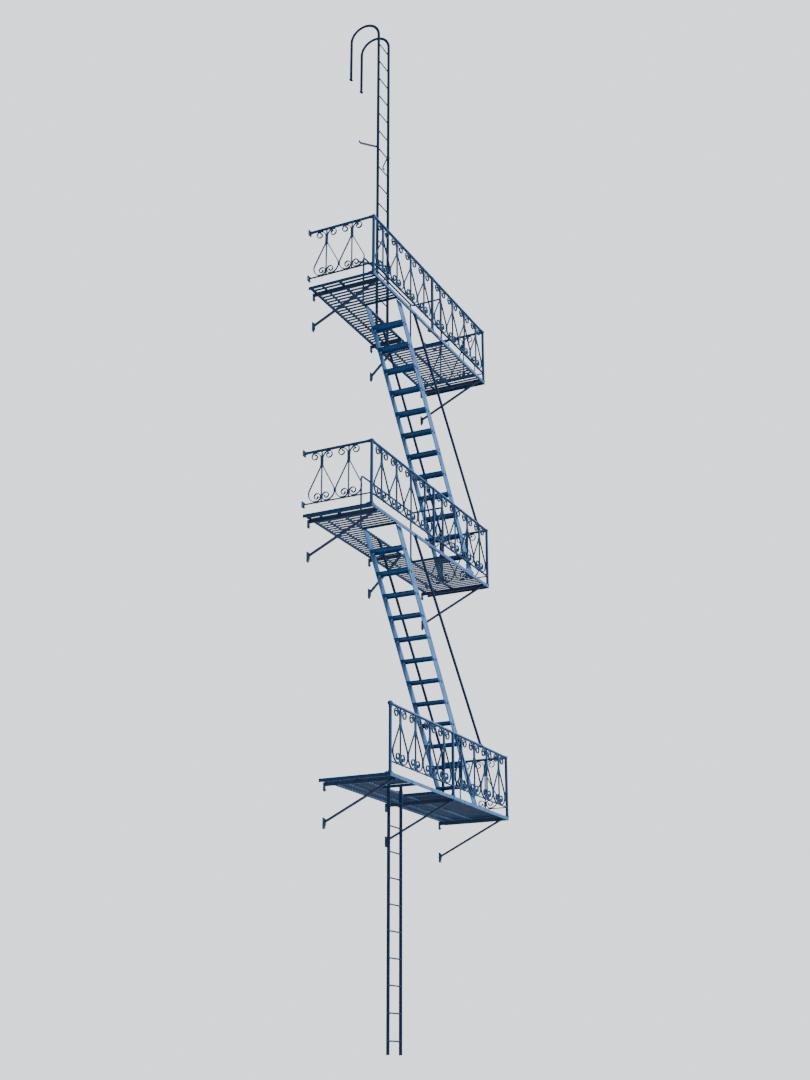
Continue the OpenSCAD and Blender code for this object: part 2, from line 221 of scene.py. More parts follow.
def carried(line, profile, across):
    """A closed profile carried along a line. Each ring is the profile set square to the line: its first
    coordinate lies along the cross product of `across` and the line, its second along `across`. At a corner
    the ring lies in the bisecting plane, so it is stretched by one over the cosine of half the turn."""
    line = np.asarray(line, float)
    step = np.diff(line, axis=0)
    step /= np.linalg.norm(step, axis=1)[:, None]
    before, after = np.vstack([step[:1], step]), np.vstack([step, step[-1:]])
    along = before + after
    along /= np.linalg.norm(along, axis=1)[:, None]
    stretch = 1 / np.sum(along * after, axis=1)
    side = np.asarray(across, float) - np.sum(along * across, axis=1)[:, None] * along
    side /= np.linalg.norm(side, axis=1)[:, None]
    out = np.cross(side, along) * stretch[:, None]
    profile = np.asarray(profile, float)
    rings = line[:, None] + profile[None, :, :1] * out[:, None] + profile[None, :, 1:] * side[:, None]
    return rings.reshape(-1, 3), grid_faces(len(line), len(profile))


def turned(outline, count):
    """A solid of revolution about Z: the point at height z and angle a is (r cos a, r sin a, z), for each
    (r, z) of the outline, which runs upwards."""
    r, z = np.asarray(outline, float).T
    a = np.linspace(0, 2 * np.pi, count, endpoint=False)
    ring = np.stack([np.cos(a), np.sin(a), np.zeros(count)], -1)
    points = r[:, None, None] * ring[None] + z[:, None, None] * np.array([0, 0, 1.0])
    return points.reshape(-1, 3), grid_faces(len(r), count)


def rounded(width, height, edge, steps=2):
    """Outline of a rectangle whose corners are quarter circles."""
    a = np.linspace(0, np.pi / 2, steps + 1)
    quarter = np.stack([np.cos(a), np.sin(a)], -1) * edge
    turns = [np.array([[c, s], [-s, c]]) for c, s in ((1, 0), (0, 1), (-1, 0), (0, -1))]
    ends = np.array([[1, 1], [-1, 1], [-1, -1], [1, -1]]) * [width / 2 - edge, height / 2 - edge]
    return np.vstack([quarter @ t + e for t, e in zip(turns, ends)])


def ellipse(width, height, count):
    """Outline (w/2 cos a, h/2 sin a)."""
    a = np.linspace(0, 2 * np.pi, count, endpoint=False)
    return np.stack([width / 2 * np.cos(a), height / 2 * np.sin(a)], -1)


def block(low, high, edge=0.002):
    """A box between two corners, its upright edges rounded."""
    low, high = np.array(low, float), np.array(high, float)
    x, y, _ = (low + high) / 2
    w, d, _ = high - low
    return carried([(x, y, low[2]), (x, y, high[2])], rounded(w, d, edge, 1)[:, ::-1] * (1, -1), (1, 0, 0))


def bent(points, radius, steps=6):
    """A line through points whose corners are arcs: near a corner the line is the blend of its two legs,
    (1-t)^2 a + 2 t (1-t) corner + t^2 b."""
    points = np.asarray(points, float)
    parts = [points[:1]]
    t = np.linspace(0, 1, steps + 1)[:, None]
    for before, corner, after in zip(points, points[1:], points[2:]):
        a = corner + (before - corner) / np.linalg.norm(before - corner) * radius
        b = corner + (after - corner) / np.linalg.norm(after - corner) * radius
        parts.append((1 - t) ** 2 * a + 2 * t * (1 - t) * corner + t**2 * b)
    return np.vstack([*parts, points[-1:]])


def hex_bolt(radius, height):
    """A washer and a six-sided head with a bevelled top, standing on z = 0."""
    washer = turned([(radius * 1.45, 0), (radius * 1.45, height * 0.2), (radius * 1.3, height * 0.25)], 12)
    head = turned([(radius, height * 0.2), (radius, height * 0.85), (radius * 0.8, height)], 6)
    return joined(washer, head)


def rivet_head(radius, count=8):
    """A low dome: r = R cos t, z = 0.55 R sin t."""
    t = np.radians([0, 35, 70])
    return turned(np.stack([radius * np.cos(t), 0.55 * radius * np.sin(t)], -1), count)


def ball(radius, squareness=1.0, rings=12, count=24):
    """A ball whose outline is r = R cos(t)^k, z = R sin(t)^k; k below 1 makes it squarer."""
    t = np.radians(np.linspace(-86, 86, rings))
    z = np.sign(t) * np.abs(np.sin(t)) ** squareness * radius
    return turned(np.stack([radius * np.cos(t) ** squareness, z], -1), count)


def iron_piece(name, shape, slot, replaces=(), paint=None):
    """Makes a shape an object that rides on the stair, with its slot's paint or another one."""
    points, faces = shape
    mesh = bpy.data.meshes.new(name)
    mesh.from_pydata(points.tolist(), [], [f for group in faces for f in group.tolist()])
    mesh.validate()
    mesh.polygons.foreach_set("use_smooth", np.ones(len(mesh.polygons), bool))
    mesh.set_sharp_from_angle(angle=CREASE)
    mesh.materials.append(bpy.data.materials["worn_" + (paint or slot)])
    made = bpy.data.objects.new(name, mesh)
    bpy.context.scene.collection.objects.link(made)
    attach(made, "root")
    if replaces:
        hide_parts(*replaces)


class Balcony:
    """Where one balcony's parts are, read from its CAD nodes."""

    def __init__(self, level):
        self.level = level
        edge_low, edge_high = corners_of(level + "_frame")
        self.left, self.outer = edge_low[:2]
        self.right = edge_high[0]
        self.middle = (self.left + self.right) / 2
        self.top = corners_of(level + "_grating")[1][2]
        self.rail_y = self.outer + POST / 2
        self.post_x = np.array([self.left + POST / 2, self.middle, self.right - POST / 2])
        self.end_sides = (1,) if level == "lower" else (-1, 1)
        self.bracket_x = np.array([self.left + BRACKET_INSET, self.middle, self.right - BRACKET_INSET])
        count = int((self.right - self.left - 2 * EDGE_WALL - SLAT) / SLAT_PITCH)
        self.slat_x = self.middle + (np.arange(count + 1) - count / 2) * SLAT_PITCH

    def end_x(self, side):
        """Middle of the railing at the left end (side -1) or the right end (side 1)."""
        return self.middle + side * (self.post_x[2] - self.middle)

    def hole(self):
        """Left and right end of the opening in the platform."""
        start = self.left + HOLE_START
        return start, start + (HATCH if self.level == "lower" else STAIR_HOLE)


# Shader maths


class Socket:
    """A value in a node tree. Its arithmetic signs add Math nodes."""

    def __init__(self, tree, socket):
        self.tree, self.socket = tree, socket

    def math(self, operation, first, second):
        return self.tree.node("ShaderNodeMath", {"operation": operation}, {0: first, 1: second})

    def __add__(self, other):
        return self.math("ADD", self, other)

    def __mul__(self, other):
        return self.math("MULTIPLY", self, other)

    def __sub__(self, other):
        return self.math("SUBTRACT", self, other)

    def __rsub__(self, other):
        return self.math("SUBTRACT", other, self)

    __radd__, __rmul__ = __add__, __mul__

    def between(self, low, high):
        """0 at low, 1 at high, easing in and out."""
        sockets = {"Value": self, "From Min": low, "From Max": high}
        return self.tree.node("ShaderNodeMapRange", {"interpolation_type": "SMOOTHSTEP"}, sockets)


def new_material(name):
    material = bpy.data.materials.new(name)
    material.use_nodes = True
    return material


class Tree:
    """The nodes of a material or of the world, which start empty."""

    def __init__(self, owner):
        self.nodes = owner.node_tree
        self.nodes.nodes.clear()

    def node(self, kind, settings=None, sockets=None, out=0):
        """Adds a node: its settings are set first, then each socket gets a value or a link."""
        made = self.nodes.nodes.new(kind)
        for key, value in (settings or {}).items():
            setattr(made, key, value)
        for key, value in (sockets or {}).items():
            if isinstance(value, Socket):
                self.nodes.links.new(value.socket, made.inputs[key])
            else:
                made.inputs[key].default_value = value
        return Socket(self, made.outputs[out]) if made.outputs else None

    def noise(self, place, scale, detail, roughness=0.5):
        sockets = {"Vector": place, "Scale": scale, "Detail": detail, "Roughness": roughness}
        return self.node("ShaderNodeTexNoise", None, sockets)

    def stretched(self, place, scale):
        return self.node("ShaderNodeMapping", None, {"Vector": place, "Scale": scale})

    def blend(self, factor, first, second):
        """A colour between two others."""
        settings = {"data_type": "RGBA"}
        return self.node("ShaderNodeMix", settings, {0: factor, 6: first, 7: second}, 2)


def painted_iron(name, paint, chalk_and_sky_light_share, finish):
    """Old brushed paint on wrought iron: slow drifts of tone, rain runs down the faces, chalked paint
    together with painted sky light, lighter on what faces the sky and the street and darker on what faces
    away, dust on what lies flat, paint rubbed thin along the edges, rust where it has lifted, and a lumpy,
    brushed and slightly pitted surface."""
    material = new_material(name)
    tree = Tree(material)
    place = tree.node("ShaderNodeTexCoord", out="Object")
    normal = tree.node("ShaderNodeNewGeometry", out="Normal")
    rounded_off = tree.node("ShaderNodeBevel", {"samples": 4}, {"Radius": 0.004})
    facing_sky_light, flatness, upward = (
        tree.node("ShaderNodeVectorMath", {"operation": "DOT_PRODUCT"}, {0: normal, 1: other}, "Value")
        for other in (SKY_LIGHT_DIRECTION, rounded_off, (0.0, 0.0, 1.0))
    )
    drift = tree.noise(place, 1.7, 3.0)
    runs = tree.noise(tree.stretched(place, (26.0, 26.0, 1.6)), 1.0, 3.0, 0.6)
    brush = tree.noise(tree.stretched(place, (60.0, 60.0, 14.0)), 1.0, 4.0, 0.6)
    lumps = tree.noise(place, 75.0, 1.0)
    pits = tree.noise(place, 190.0, 3.0, 0.6)
    patches = tree.noise(place, 6.5, 6.0, 0.68)
    freckles = tree.noise(place, 48.0, 4.0, 0.65)

    edge = (1 - flatness).between(0.004, 0.09)
    # Painted sky light, partly chalked paint: faces turned to the sky and the street are painted lighter, and
    # faces turned away keep the darker paint
    chalk_and_sky_light = facing_sky_light.between(-0.15, 0.95) * (0.5 + drift) * (finish.chalk_and_sky_light * chalk_and_sky_light_share)
    dirt = runs.between(0.42, 0.72) * 0.45
    dust = upward.between(0.55, 0.95) * patches.between(0.36, 0.62) * finish.dust
    lifted = patches * 0.72 + freckles * 0.42 + edge * 0.05
    rust = lifted.between(finish.rust_start, finish.rust_start + 0.06)
    stain = lifted.between(finish.rust_start - 0.07, finish.rust_start + 0.02) * 0.35
    dark = tuple(c * 0.55 for c in paint[:3]) + (1.0,)
    tone = tree.blend(drift.between(0.25, 0.75) * 0.6, tuple(paint[:3]) + (1.0,), dark)
    # Painted sky light: the tone goes towards the pale colour of the sky-lit faces
    tone = tree.blend(chalk_and_sky_light, tone, tuple(finish.chalk_and_sky_light_colour) + (1.0,))
    tone = tree.blend(dirt, tone, dark)
    tone = tree.blend(dust, tone, DUST)
    tone = tree.blend(edge * brush.between(0.30, 0.60) * finish.wear, tone, RUBBED)
    tone = tree.blend(stain, tone, STAIN)
    tone = tree.blend(rust, tone, tree.blend(freckles.between(0.3, 0.7), FRESH_RUST, OLD_RUST))
    roughness = finish.roughness + 0.16 * chalk_and_sky_light + 0.30 * rust + 0.15 * dust
    roughness = roughness + 0.12 * brush - 0.08 * edge - 0.06
    height = brush * 0.5 + lumps * 0.7 + pits * 0.25 - rust * 0.5
    relief = {"Strength": finish.bump, "Distance": 0.0025, "Height": height}
    sockets = {
        "Base Color": tone,
        "Roughness": roughness,
        "Normal": tree.node("ShaderNodeBump", None, relief),
        "Metallic": 0.0,
        "Specular IOR Level": finish.sheen,
    }
    shader = tree.node("ShaderNodeBsdfPrincipled", None, sockets)
    tree.node("ShaderNodeOutputMaterial", None, {"Surface": shader})
    return material


def fading_floor(name, colour, reach):
    """An even, pale floor that fades into the backdrop with distance, is seen from above only and throws
    back only a part of the light, so that undersides stay dark."""
    material = new_material(name)
    tree = Tree(material)
    place = tree.node("ShaderNodeTexCoord", out="Object")
    distance = tree.node("ShaderNodeVectorMath", {"operation": "LENGTH"}, {0: place}, "Value")
    under = tree.node("ShaderNodeNewGeometry", out="Backfacing")
    seen = tree.node("ShaderNodeLightPath", out="Is Camera Ray")
    bounce = FLOOR_BOUNCE + seen * (1 - FLOOR_BOUNCE)
    hidden = 1 - (1 - distance.between(reach * 0.25, reach * 0.95)) * (1 - under) * bounce
    paint = tree.node("ShaderNodeBsdfPrincipled", None, {"Base Color": colour, "Roughness": 0.9})
    clear = tree.node("ShaderNodeBsdfTransparent")
    mixed = tree.node("ShaderNodeMixShader", None, {0: hidden, 1: paint, 2: clear})
    tree.node("ShaderNodeOutputMaterial", None, {"Surface": mixed})
    return material


# Settings


def paint_colour(label, colour):
    text = "Paint of the " + label.lower()
    return bpy.props.FloatVectorProperty(
        name=label, description=text, subtype="COLOR", size=3, min=0, max=1, default=colour
    )


def length(label, description, value):
    return bpy.props.FloatProperty(
        name=label, description=description, default=value, min=0, unit="LENGTH", precision=4
    )


def share(label, description, value):
    return bpy.props.FloatProperty(
        name=label, description=description, default=value, min=0, max=1, subtype="FACTOR"
    )


def number(label, description, value):
    return bpy.props.FloatProperty(name=label, description=description, default=value, min=0)


def spot(label, description, value):
    return bpy.props.FloatVectorProperty(
        name=label, description=description, subtype="XYZ", unit="LENGTH", size=3, default=value
    )


class FireEscapePaint(bpy.types.PropertyGroup):
    bracket_iron: paint_colour("Brackets", (0.032, 0.060, 0.122))
    frame_iron: paint_colour("Platform frames", (0.007, 0.048, 0.135))
    slat_iron: paint_colour("Slats", (0.005, 0.043, 0.120))
    rail_iron: paint_colour("Rails", (0.016, 0.056, 0.145))
    scroll_iron: paint_colour("Scrollwork", (0.008, 0.042, 0.115))
    # The stringers' paint is lighter than the rest as painted sky light and painted reflection on their outer
    # faces
    stringer_iron: paint_colour("Stringers", (0.068, 0.168, 0.380))
    tread_iron: paint_colour("Treads", (0.007, 0.088, 0.260))
    ladder_iron: paint_colour("Ladders", (0.013, 0.030, 0.080))
    # The tread bolts' pale paint is partly bare metal and partly a painted highlight for the light their
    # heads catch
    bolt_iron: paint_colour("Bolts of the treads", (0.340, 0.460, 0.620))
    post_iron: paint_colour("Posts and guards", (0.016, 0.056, 0.145))
    # Painted sky light: the pale colour that faces turned to the sky are painted towards, partly as chalked
    # paint
    chalk_and_sky_light_colour: paint_colour("Chalked faces", (0.120, 0.260, 0.520))
    # Strength of the painted sky light and chalking on faces turned to the sky
    chalk_and_sky_light: share("Chalk", "How far the paint has chalked where it faces the sky", 1.0)
    rust_start: share("Rust start", "Noise level where rust shows; lower gives more rust", 0.68)
    dust: share("Dust", "How much dust lies on flat tops", 0.45)
    wear: share("Edge wear", "How far the paint is rubbed thin along the edges", 0.50)
    roughness: share("Roughness", "Roughness of sound paint", 0.48)
    sheen: share("Sheen", "Strength of the paint's reflections", 0.12)
    bump: share("Bump", "Strength of brush marks and pits", 0.30)


class FireEscapeSizes(bpy.types.PropertyGroup):
    bar_edge: length("Bar edges", "Rounding of the scroll bars' edges", 0.0022)
    sleeve_wall: length("Sleeves", "Wall of the sleeves on the top rails", 0.0035)
    slat_rivet: length("Slat rivets", "Radius of the rivets that hold the slats", 0.0065)
    bolt_head: length("Bolt heads", "Radius of the bolts on stringers and plates", 0.0115)
    guard_radius: length("Guard rail", "Radius of the pipe round an opening", 0.012)
    guard_bend: length("Guard bends", "Length of each bend of that pipe", 0.050)
    handrail_radius: length("Handrails", "Radius of the flights' handrails", 0.018)
    rung_radius: length("Rungs", "Radius of the ladders' rungs", 0.009)
    rung_pitch: length("Rung pitch", "Distance from one rung to the next", 0.300)
    tread_rib: length("Tread ribs", "Height of the ribs on a tread", 0.0025)


class FireEscapeStudio(bpy.types.PropertyGroup):
    eye: spot("Eye", "Where the camera stands", (-15.896, -8.356, -5.799))
    target: spot("Target", "What the camera looks at", (0.050, -0.496, 0.672))
    lens: number("Lens", "Focal length in millimetres", 49.0)
    floor_drop: length("Floor", "Height of the object's foot above the floor", 1.85)
    floor_radius: length("Floor radius", "Radius of the round floor, which fades towards its rim", 90.0)
    key: number("Key light", "Strength of the soft key light", 3.9)
    sky: number("Surround", "Strength of the light from all round", 0.55)


# Operators


class PaintIronwork(bpy.types.Operator):
    """Makes every paint and gives each CAD node the one of its material slot"""

    bl_idname = "fire_escape.paint_ironwork"
    bl_label = "Paint ironwork"

    def execute(self, context):
        finish = context.scene.fire_escape_paint
        for paint, chalk_and_sky_light_share in CHALK_AND_SKY_LIGHT_SHARES.items():
            painted_iron("worn_" + paint, getattr(finish, paint), chalk_and_sky_light_share, finish)
        for part in frame["record"]["subparts"]:
            node = frame["nodes"][part["node"]]
            node.data.materials.clear()
            node.data.materials.append(bpy.data.materials["worn_" + part["material_slot"]])
        return {"FINISHED"}


def quarter_turns(start, angle, radii, steps=7):
    """Quarter circles from a point on, each with its own radius, and one tangent where two meet."""
    parts = []
    for radius in radii:
        centre = start - radius * np.array([math.cos(angle), math.sin(angle)])
        a = np.linspace(angle, angle + math.pi / 2, steps + 1)[1:]
        parts.append(centre + radius * np.stack([np.cos(a), np.sin(a)], -1))
        start, angle = parts[-1][-1], angle + math.pi / 2
    return np.vstack(parts)


def scroll_line(width):
    """The left scroll of a pair: quarter turns of falling radius, a straight neck, a straight run down and
    outwards, a round belly that starts at its tangent, and quarter turns of falling radius."""
    scale, half = width / PAIR, SCROLL[0] / 2
    belly_r, curl_r = BELLY_R * scale, CURL_R * scale
    curl = np.array([-SCROLL_GAP, TOP_RAIL_Z - TOP_RAIL[1] / 2 - half - curl_r])
    neck = np.array([-SCROLL_GAP, COLLAR_Z])
    belly = np.array([-(width - PAIR_GAP) / 2 + half + belly_r, BOTTOM_RAIL_Z + half + belly_r])
    reach = neck - belly
    tangent = math.atan2(reach[1], reach[0]) + math.acos(belly_r / np.linalg.norm(reach))
    a = np.concatenate([np.linspace(tangent, math.pi, 6), np.linspace(math.pi, 1.5 * math.pi, 10)[1:]])
    bow = belly + belly_r * np.stack([np.cos(a), np.sin(a)], -1)
    upper = quarter_turns(curl, 0, np.array([1, 0.55, 0.52, 0.42, 0.3]) * curl_r)[::-1]
    lower = quarter_turns(bow[-1], 1.5 * math.pi, np.array([0.52, 0.43, 0.36, 0.28, 0.2]) * belly_r)
    return np.vstack([upper, curl, neck, bow, lower])


def upright(line):
    """A line in a railing's plane as points in space, with y = 0."""
    return np.stack([line[:, 0], np.zeros(len(line)), line[:, 1]], -1)


def scroll_pair(width, edge):
    """Two scrolls back to back on a flat bar, with rolled ends, a riveted collar and bands round the rail."""
    line = scroll_line(width)
    bar = carried(upright(line), rounded(*SCROLL, edge), (0, 1, 0))
    eye = facing(turned([(0.0095, -0.012), (0.011, -0.010), (0.011, 0.010), (0.0095, 0.012)], 10), "y")
    ends = copied(eye, upright(line[[0, -1]]))
    x, z = -(width - PAIR_GAP) / 2 + SCROLL[0] / 2 + BELLY_R * width / PAIR, BOTTOM_RAIL_Z
    foot = block((x - 0.008, -0.0165, z - 0.013), (x + 0.008, 0.0165, z + 0.0125))
    half = joined(bar, ends, foot)
    stem = block((-0.006, -0.010, z), (0.006, 0.010, TOP_RAIL_Z - TOP_RAIL[1] / 2 + 0.003), 0.0015)
    collar = joined(
        block((-0.020, -0.013, COLLAR_Z - 0.009), (0.020, 0.013, COLLAR_Z + 0.009), 0.003),
        block((-0.0215, -0.0145, COLLAR_Z - 0.003), (0.0215, 0.0145, COLLAR_Z + 0.003), 0.003),
        copied(facing(rivet_head(0.005), "-y"), [(0, -0.014, COLLAR_Z)]),
        copied(facing(rivet_head(0.005), "y"), [(0, 0.014, COLLAR_Z)]),
    )
    return joined(half, mirrored(half), stem, collar)


def scroll_row(start, count, width, edge):
    """Pairs side by side along X, tied to each other by bands at the widest part of their bellies."""
    pairs = copied(scroll_pair(width, edge), [(start + (i + 0.5) * width, 0, 0) for i in range(count)])
    z = BOTTOM_RAIL_Z + SCROLL[0] / 2 + BELLY_R * width / PAIR
    band = block((-0.0138, -0.0125, z - 0.008), (0.0138, 0.0125, z + 0.008), 0.003)
    return joined(pairs, copied(band, [(start + i * width, 0, 0) for i in range(1, count)]))


class BuildScrollwork(bpy.types.Operator):
    """Makes the lyre scrolls of the railings from rounded bars, collars and bands"""

    bl_idname = "fire_escape.build_scrollwork"
    bl_label = "Build scrollwork"

    def execute(self, context):
        edge = context.scene.fire_escape_sizes.bar_edge
        for level in LEVELS:
            at = Balcony(level)
            bay = at.post_x[1] - at.post_x[0]
            row = scroll_row((bay - 4 * PAIR) / 2, 4, PAIR, edge)
            starts = [(x, at.rail_y, at.top) for x in at.post_x[:2]]
            nodes = [level + "_front_scrolls_left", level + "_front_scrolls_right"]
            iron_piece(level + "_front_scrollwork", copied(row, starts), "scroll_iron", nodes)
            row = scroll_row(END_START, 2, END_PAIR, edge)
            places = [(at.end_x(side), 0, at.top) for side in at.end_sides]
            nodes = [level + "_end_scrolls_" + ("left" if side < 0 else "right") for side in at.end_sides]
            iron_piece(level + "_end_scrollwork", copied(row, places, -math.pi / 2), "scroll_iron", nodes)
        return {"FINISHED"}


class BuildPosts(bpy.types.Operator):
    """Makes the railing posts with their feet, elbows and the knob at the open end"""

    bl_idname = "fire_escape.build_posts"
    bl_label = "Build posts"

    def execute(self, context):
        sizes = context.scene.fire_escape_sizes
        bolt = hex_bolt(sizes.bolt_head * 0.8, 0.009)
        half = POST / 2
        shaft = carried([(0, 0, 0.001), (0, 0, TOP_RAIL_Z)], rounded(POST, POST, 0.004), (0, 1, 0))
        shoe = block((-0.020, -0.020, 0.0), (0.020, 0.020, 0.021), 0.004)
        thick = 0.008

        def foot(start, stop, spots):
            """The shoe on a plate from start to stop along X, with bolts."""
            plate = block((start, -half, 0), (stop, 0.066, thick), 0.004)
            return joined(plate, shoe, copied(bolt, [(x, y, thick) for x, y in spots]))

        corner_foot = foot(-half, 0.066, ((0.002, 0.045), (0.045, 0.002)))
        middle_foot = foot(-0.038, 0.038, ((-0.022, 0.045), (0.022, 0.045)))
        feet = (corner_foot, middle_foot, mirrored(corner_foot))
        above = [(0, 0, TOP_RAIL_Z + 0.002)]
        elbow = copied(ball(0.0255), above)
        neck = turned([(0.0215, 0), (0.0240, 0.004), (0.0240, 0.012), (0.0215, 0.016)], 20)
        button = turned([(0.019, 0), (0.019, 0.012), (0.015, 0.014)], 20)
        knob = joined(
            copied(ball(0.030, 0.72), above),
            copied(neck, [(0, 0, TOP_RAIL_Z - 0.047)]),
            copied(facing(button, "-x"), [(-0.027, 0, TOP_RAIL_Z)]),
        )
        for level in LEVELS:
            at = Balcony(level)
            heads = [knob if level == "lower" else elbow, None, elbow]
            parts = []
            for x, base, head in zip(at.post_x, feet, heads):
                post = joined(shaft, base, head) if head else joined(shaft, base)
                parts.append(copied(post, [(x, at.rail_y, at.top)]))
            nodes = [level + "_posts"]
            iron_piece(level + "_railing_posts", joined(*parts), "rail_iron", nodes, paint="post_iron")
        return {"FINISHED"}


class BuildRails(bpy.types.Operator):
    """Makes the oval top rails with their sleeves, and the flat bottom rails"""

    bl_idname = "fire_escape.build_rails"
    bl_label = "Build rails"

    def execute(self, context):
        sizes = context.scene.fire_escape_sizes
        oval = ellipse(*TOP_RAIL[::-1], 24)
        grown = ellipse(*(side + 2 * sizes.sleeve_wall for side in TOP_RAIL[::-1]), 24)
        flat = rounded(*BOTTOM_RAIL[::-1], 0.003)
        low_z = BOTTOM_RAIL_Z - BOTTOM_RAIL[1] / 2

        def along(profile, a, b, across):
            return carried([a, b], profile, across)

        for level in LEVELS:
            at = Balcony(level)
            y, top, low = at.rail_y, at.top + TOP_RAIL_Z, at.top + low_z
            x0, xm, x1 = at.post_x
            front = (0, 1, 0)
            parts = [
                along(oval, (x0 + 0.020, y, top), (x1 - 0.020, y, top), front),
                along(grown, (x0 + 0.006, y, top), (x0 + 0.052, y, top), front),
                along(grown, (xm - 0.034, y, top), (xm + 0.034, y, top), front),
                along(grown, (x1 - 0.052, y, top), (x1 - 0.006, y, top), front),
            ]
            low_parts = [
                along(flat, (x0 + POST / 2, y, low), (xm - POST / 2, y, low), front),
                along(flat, (xm + POST / 2, y, low), (x1 - POST / 2, y, low), front),
            ]
            for side in at.end_sides:
                x = at.end_x(side)
                parts += [
                    along(oval, (x, y + 0.020, top), (x, -FLANGE, top), (1, 0, 0)),
                    along(grown, (x, y + 0.006, top), (x, y + 0.052, top), (1, 0, 0)),
                    along(grown, (x, -FLANGE - 0.030, top), (x, -FLANGE, top), (1, 0, 0)),
                ]
                low_parts.append(along(flat, (x, y + POST / 2, low), (x, -FLANGE, low), (1, 0, 0)))
            iron_piece(level + "_railing_bars", joined(*parts), "rail_iron", [level + "_rails"])
            iron_piece(level + "_bottom_rails", joined(*low_parts), "scroll_iron")
        return {"FINISHED"}


class BuildGuards(bpy.types.Operator):
    """Makes the bent pipes that guard the openings of the two upper balconies"""

    bl_idname = "fire_escape.build_guards"
    bl_label = "Build guards"

    def execute(self, context):
        sizes = context.scene.fire_escape_sizes
        r = sizes.guard_radius
        pipe = ellipse(2 * r, 2 * r, 16)
        collar = turned([(r * 1.9, 0), (r * 1.9, 0.006), (r * 1.25, 0.012), (r * 1.2, 0.022)], 16)
        for level in LEVELS[1:]:
            at = Balcony(level)
            low, high = corners_of(level + "_opening_guard")
            left, outer = low[:2] + r
            right, inner = high[:2] - r
            z0, z1 = at.top, high[2] - r
            low_left, low_right = (left, inner, z0), (right, outer, z0)
            line = [low_left, (left, inner, z1), (right, inner, z1), (right, outer, z1), low_right]
            rail = carried(bent(line, sizes.guard_bend, 8), pipe, (0.58, 0.57, 0.58))
            stay_low, stay_high = (right - 0.045, inner, z0), (right - 0.045, inner, z1)
            stay = carried([stay_low, stay_high], pipe, (0, 1, 0))
            tee = copied(ball(r * 1.35, 1.0, 10, 16), [stay_high])
            parts = joined(rail, stay, tee, copied(collar, [low_left, stay_low, low_right]))
            nodes = [level + "_opening_guard"]
            iron_piece(level + "_guard_pipe", parts, "rail_iron", nodes, paint="post_iron")
        return {"FINISHED"}


def tread_places(flight):
    """Middle of each tread's top face, and both ends of the treads across the flight, from their node."""
    low, high = corners_of(flight + "_treads")
    k = np.arange(TREAD_COUNT)
    x = low[0] + TREAD_DEPTH / 2 + k * (high[0] - low[0] - TREAD_DEPTH) / (TREAD_COUNT - 1)
    z = high[2] - k * (high[2] - low[2] - TREAD_LIP) / (TREAD_COUNT - 1)
    return np.stack([x, np.zeros(TREAD_COUNT), z], -1), low[1], high[1]


class BuildTreads(bpy.types.Operator):
    """Makes the folded treads with round nosings, ribs and the angle clips below their ends"""

    bl_idname = "fire_escape.build_treads"
    bl_label = "Build treads"

    def execute(self, context):
        sizes = context.scene.fire_escape_sizes
        half, lip, thick, nose = TREAD_DEPTH / 2, TREAD_LIP, 0.006, 0.006
        a = np.linspace(0, np.pi / 2, 5)
        corner = np.stack([half - nose + nose * np.cos(a), -nose + nose * np.sin(a)], -1)
        outside = np.vstack([[(half, -lip)], corner, (corner * (-1, 1))[::-1], [(-half, -lip)]])
        web = half - thick
        inside = np.array([(-web, -lip), (-web, -thick), (web, -thick), (web, -lip)])
        fold = np.vstack([outside, inside])
        for flight in FLIGHTS:
            places, y0, y1 = tread_places(flight)
            # The profile's first coordinate points to -X here, because the line runs to +Y and `across` is up
            plate = carried([(0, y0, 0), (0, y1, 0)], fold * (-1, 1), (0, 0, 1))
            plate = (plate[0], [f[:, ::-1] for f in plate[1]])
            rib = block((-0.003, y0 + 0.012, 0), (0.003, y1 - 0.012, sizes.tread_rib), 0.001)
            ribs = copied(rib, [(x, 0, 0) for x in np.linspace(-0.055, 0.055, 6)])
            clips, bolts = [], []
            start, stop, leg = -0.036, 0.066, 0.005
            for y, way, axis in ((y0, 1, "y"), (y1, -1, "-y")):
                wall, reach = sorted((y, y + way * leg)), sorted((y, y + way * 0.034))
                clips += [
                    block((start, wall[0], -0.046), (stop, wall[1], -thick), 0.001),
                    block((start, reach[0], -thick - leg), (stop, reach[1], -thick), 0.001),
                ]
                bolts.append(copied(facing(hex_bolt(0.0135, 0.016), axis), [(0.010, y + way * leg, -0.027)]))
            plates, bolts = copied(joined(plate, ribs), places), copied(joined(*bolts), places)
            iron_piece(flight + "_plates", plates, "tread_iron", [flight + "_treads"])
            iron_piece(flight + "_clips", copied(joined(*clips), places), "tread_iron")
            # Pale bolts: partly bare metal, partly a painted highlight
            iron_piece(flight + "_clip_bolts", bolts, "stringer_iron", paint="bolt_iron")
        return {"FINISHED"}


